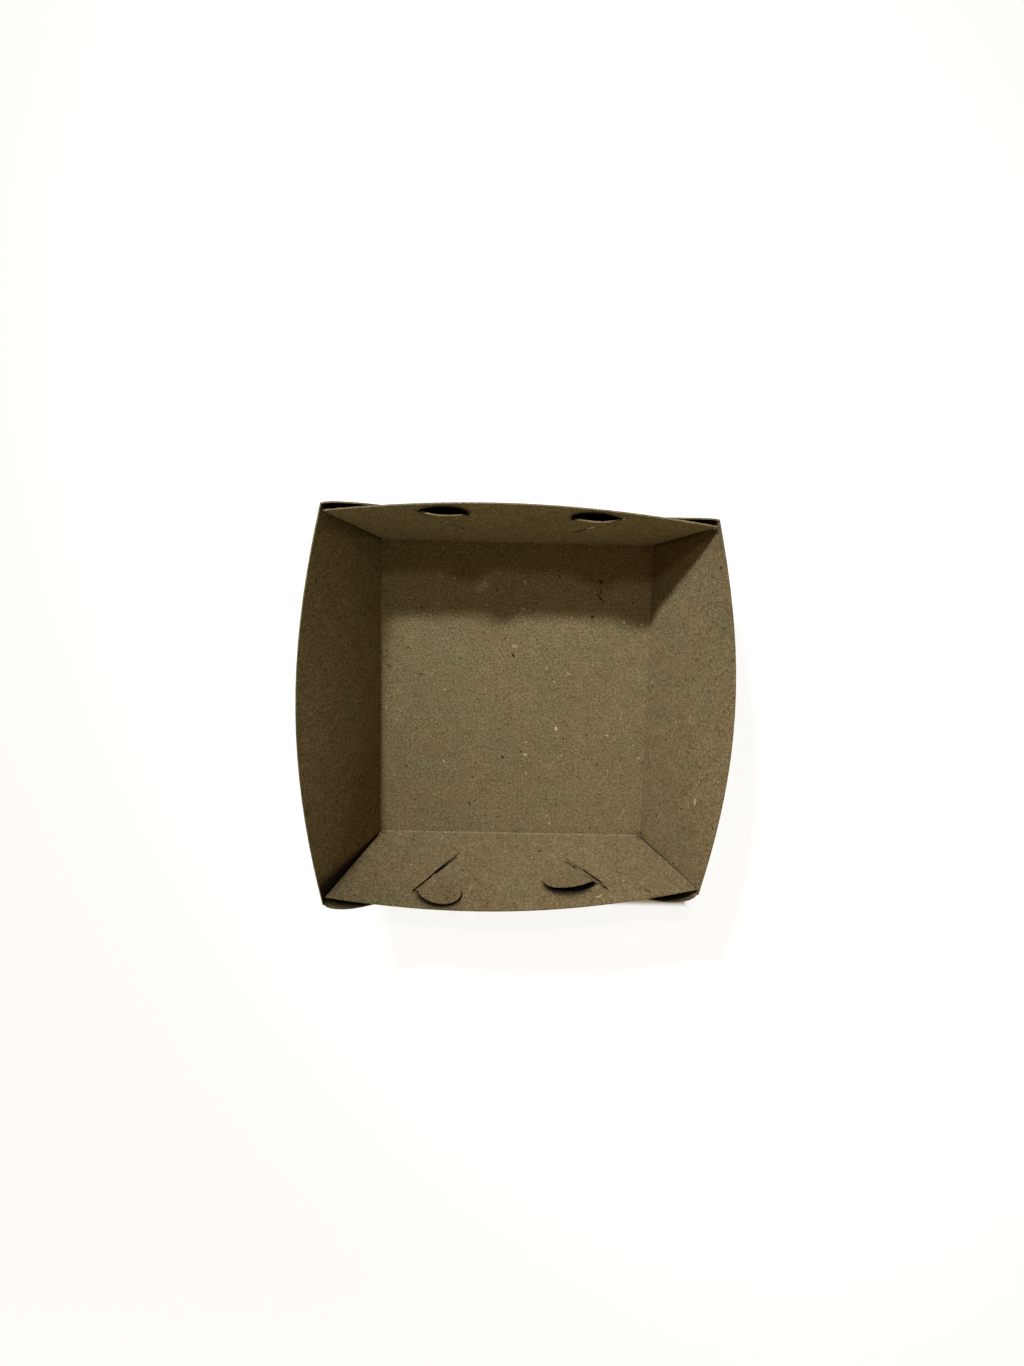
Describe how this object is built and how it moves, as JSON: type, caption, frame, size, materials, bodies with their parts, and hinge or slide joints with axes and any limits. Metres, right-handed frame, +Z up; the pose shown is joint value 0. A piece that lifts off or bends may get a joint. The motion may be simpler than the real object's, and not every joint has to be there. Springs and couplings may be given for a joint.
{
  "type": "open folded takeaway tray",
  "caption": "Open takeaway tray folded from one sheet of brown recycled board, with flared walls and tongues locked through slanted slits.",
  "frame": {"origin": "middle of the underside of the base, halfway between the fold lines", "axes": "+Z up out of the open tray, +X to the right along the front wall, front wall at -Y"},
  "size_m": [0.1626, 0.1557, 0.0467],
  "materials": {
    "recycled_board": "matt brown recycled board, mottled, with pale and dark fibre flecks"
  },
  "bodies": {
    "root": {"folded_box": "recycled_board"}
  },
  "joints": []
}
